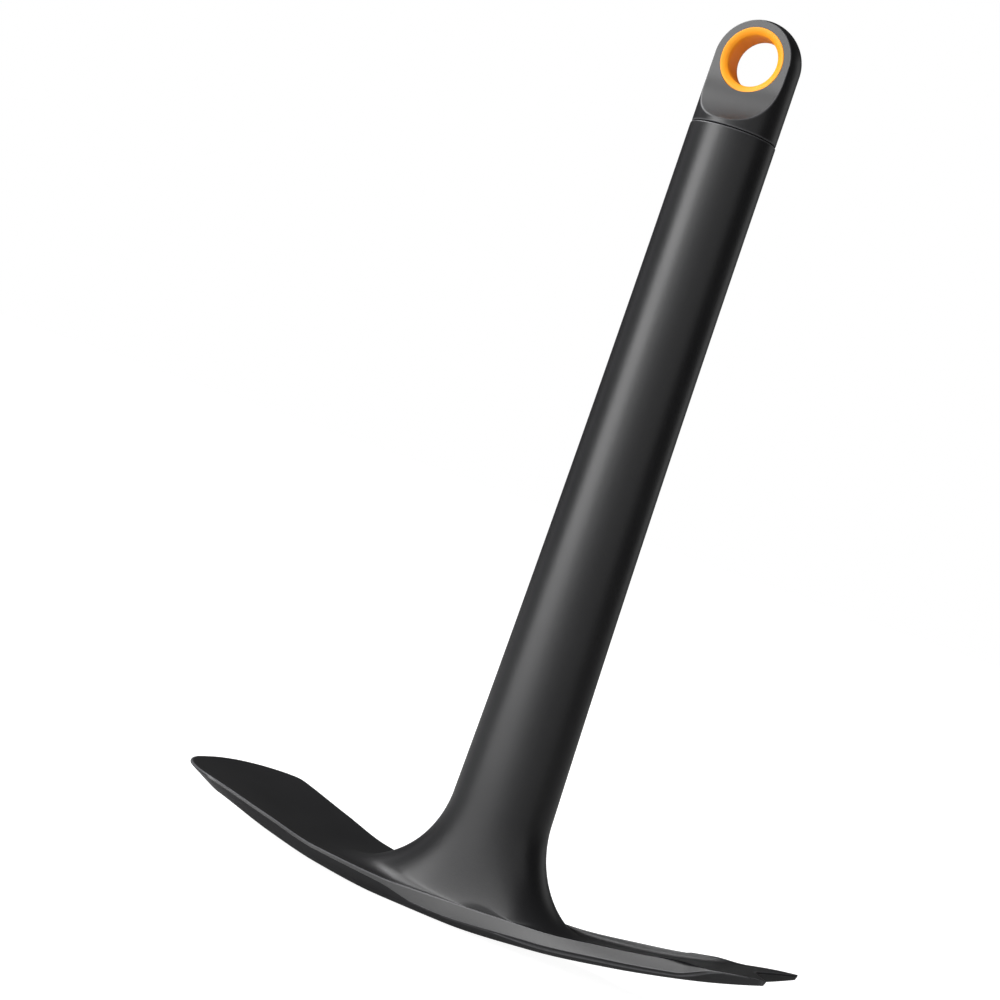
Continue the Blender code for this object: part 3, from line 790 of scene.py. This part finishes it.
# %% Place the camera
LENS_LENGTH = 82.6
SENSOR_WIDTH = 36
NEAREST_SEEN = 10 * MM
CAMERA_AZIMUTH, CAMERA_DROP, CAMERA_ROLL = (math.radians(a) for a in (27.12, 1.41, 18.84))
CAMERA_PLACE = (0.3215 + GRIP_AXIS_X, -0.7034, 0.1585)
forward = np.array([-math.sin(CAMERA_AZIMUTH) * math.cos(CAMERA_DROP),
                    math.cos(CAMERA_AZIMUTH) * math.cos(CAMERA_DROP), -math.sin(CAMERA_DROP)])
right = np.cross(forward, (0, 0, 1))
right /= np.linalg.norm(right)
up = np.cross(right, forward)
turned_right = right * math.cos(CAMERA_ROLL) + up * math.sin(CAMERA_ROLL)
turned_up = up * math.cos(CAMERA_ROLL) - right * math.sin(CAMERA_ROLL)


def standing(right, up, back, place):
    """The matrix that puts an object at a place, with its own three axes along the given directions."""
    return Matrix([[right[n], up[n], back[n], place[n]] for n in range(3)] + [[0, 0, 0, 1]])


lens = bpy.data.cameras.new("portrait_lens")
lens.lens = LENS_LENGTH
lens.sensor_width = SENSOR_WIDTH
lens.clip_start = NEAREST_SEEN
camera = bpy.data.objects.new("portrait_camera", lens)
bpy.context.scene.collection.objects.link(camera)
camera.matrix_world = standing(turned_right, turned_up, -forward, CAMERA_PLACE)
bpy.context.scene.camera = camera
print("the camera stands", round(math.hypot(*CAMERA_PLACE[:2]), 2), "m from the hoe's middle")

# %% [markdown]
# A white studio: the floor and the world are white to the camera only, so that the light on the hoe stays
# at a plain level. The floor is a trifle darker near the hoe, which leaves room for its soft shadow to
# show.

# %% Lay the floor and the backdrop
FLOOR_SIZE = 6
FLOOR_SINK = 0.2 * MM
FLOOR_GREY = 0.45
SHADE_FROM, SHADE_TO = 0.15, 0.7
SHADED_WHITE = 0.94
WORLD_LIGHT = 0.05


def studio_floor():
    bm = bmesh.new()
    bmesh.ops.create_grid(bm, x_segments=1, y_segments=1, size=FLOOR_SIZE)
    bmesh.ops.translate(bm, verts=bm.verts, vec=(0, 0, -FLOOR_SINK))
    mesh = bpy.data.meshes.new("studio_floor")
    bm.to_mesh(mesh)
    bm.free()
    floor = bpy.data.objects.new("studio_floor", mesh)
    bpy.context.scene.collection.objects.link(floor)
    made, board, shader = new_finish("white_floor")
    board.feed(shader["Base Color"], (FLOOR_GREY, FLOOR_GREY, FLOOR_GREY, 1))
    board.feed(shader["Roughness"], 0.9)
    where = board.add("ShaderNodeTexCoord", output="Object")
    away = board.add("ShaderNodeVectorMath", {"operation": "LENGTH"}, where, output="Value")
    whiteness = board.add("ShaderNodeMapRange", None, Value=away, From_Min=SHADE_FROM, From_Max=SHADE_TO,
                          To_Min=SHADED_WHITE, To_Max=1.0)
    seen = board.add("ShaderNodeLightPath", output="Is Camera Ray")
    board.feed(shader["Emission Color"], seen * whiteness)
    board.feed(shader["Emission Strength"], 1.0)
    mesh.materials.append(made)


studio_floor()
world = bpy.data.worlds.new("white_studio")
world.use_nodes = True
bpy.context.scene.world = world
sky = Board(world.node_tree)
background = world.node_tree.nodes["Background"].inputs
sky.feed(background["Color"], (1, 1, 1, 1))
sky_seen = sky.add("ShaderNodeLightPath", output="Is Camera Ray")
sky.feed(background["Strength"], WORLD_LIGHT + (1 - WORLD_LIGHT) * sky_seen)
bpy.context.scene.view_settings.view_transform = "Standard"
print("the floor is", 2 * FLOOR_SIZE, "m wide")

# %% [markdown]
# The lamps decide how black plastic reads, because all that shows on it is their soft reflections. A tall
# key lamp to the left of the camera draws the long highlight down the grip and lights the cheeks and the
# side face of the head. Three lamps higher up reach the surfaces that lean back: the rim, the fork's side
# and the run-out of the cap. A row of fills, each fainter for its size than the one before, lets the grip
# darken evenly towards the right.

# %% Light the studio
LAMP_DISTANCE = 1.4
LAMP_AIM_HEIGHT = 0.14
LAMPS = (
    # name, azimuth and elevation in degrees, width and height in metres, watts
    ("key_lamp", -33, 12, 0.8, 1.3, 23),
    ("upper_lamp", -34, 50, 0.7, 0.55, 2.6),
    ("shoulder_lamp", -84, 50, 1.2, 0.66, 13),
    ("top_lamp", -40, 76, 0.6, 0.6, 2),
    ("near_fill", -3, 12, 0.66, 0.9, 3.4),
    ("front_fill", 24, 12, 0.66, 0.9, 1.6),
    ("right_fill", 63, 12, 1.3, 0.9, 2.2),
    ("left_fill", -95, 14, 0.5, 0.9, 0.4),
    ("back_fill", 158, 14, 0.6, 0.9, 0.8),
)


def soft_lamp(name, azimuth, elevation, width, height, power):
    """An area lamp that faces the middle of the hoe, with its azimuth counted from straight in front."""
    turn, lift = math.radians(azimuth), math.radians(elevation)
    back = np.array((math.sin(turn) * math.cos(lift), -math.cos(turn) * math.cos(lift), math.sin(lift)))
    place = back * LAMP_DISTANCE + (0, 0, LAMP_AIM_HEIGHT)
    light = bpy.data.lights.new(name, "AREA")
    light.shape = "RECTANGLE"
    light.size, light.size_y, light.energy = width, height, power
    lamp = bpy.data.objects.new(name, light)
    bpy.context.scene.collection.objects.link(lamp)
    side = np.array((math.cos(turn), math.sin(turn), 0))
    top = np.cross(back, side)
    lamp.matrix_world = standing(side, top, back, place)
    print(name, "at", power, "watts")


for lamp_values in LAMPS:
    soft_lamp(*lamp_values)
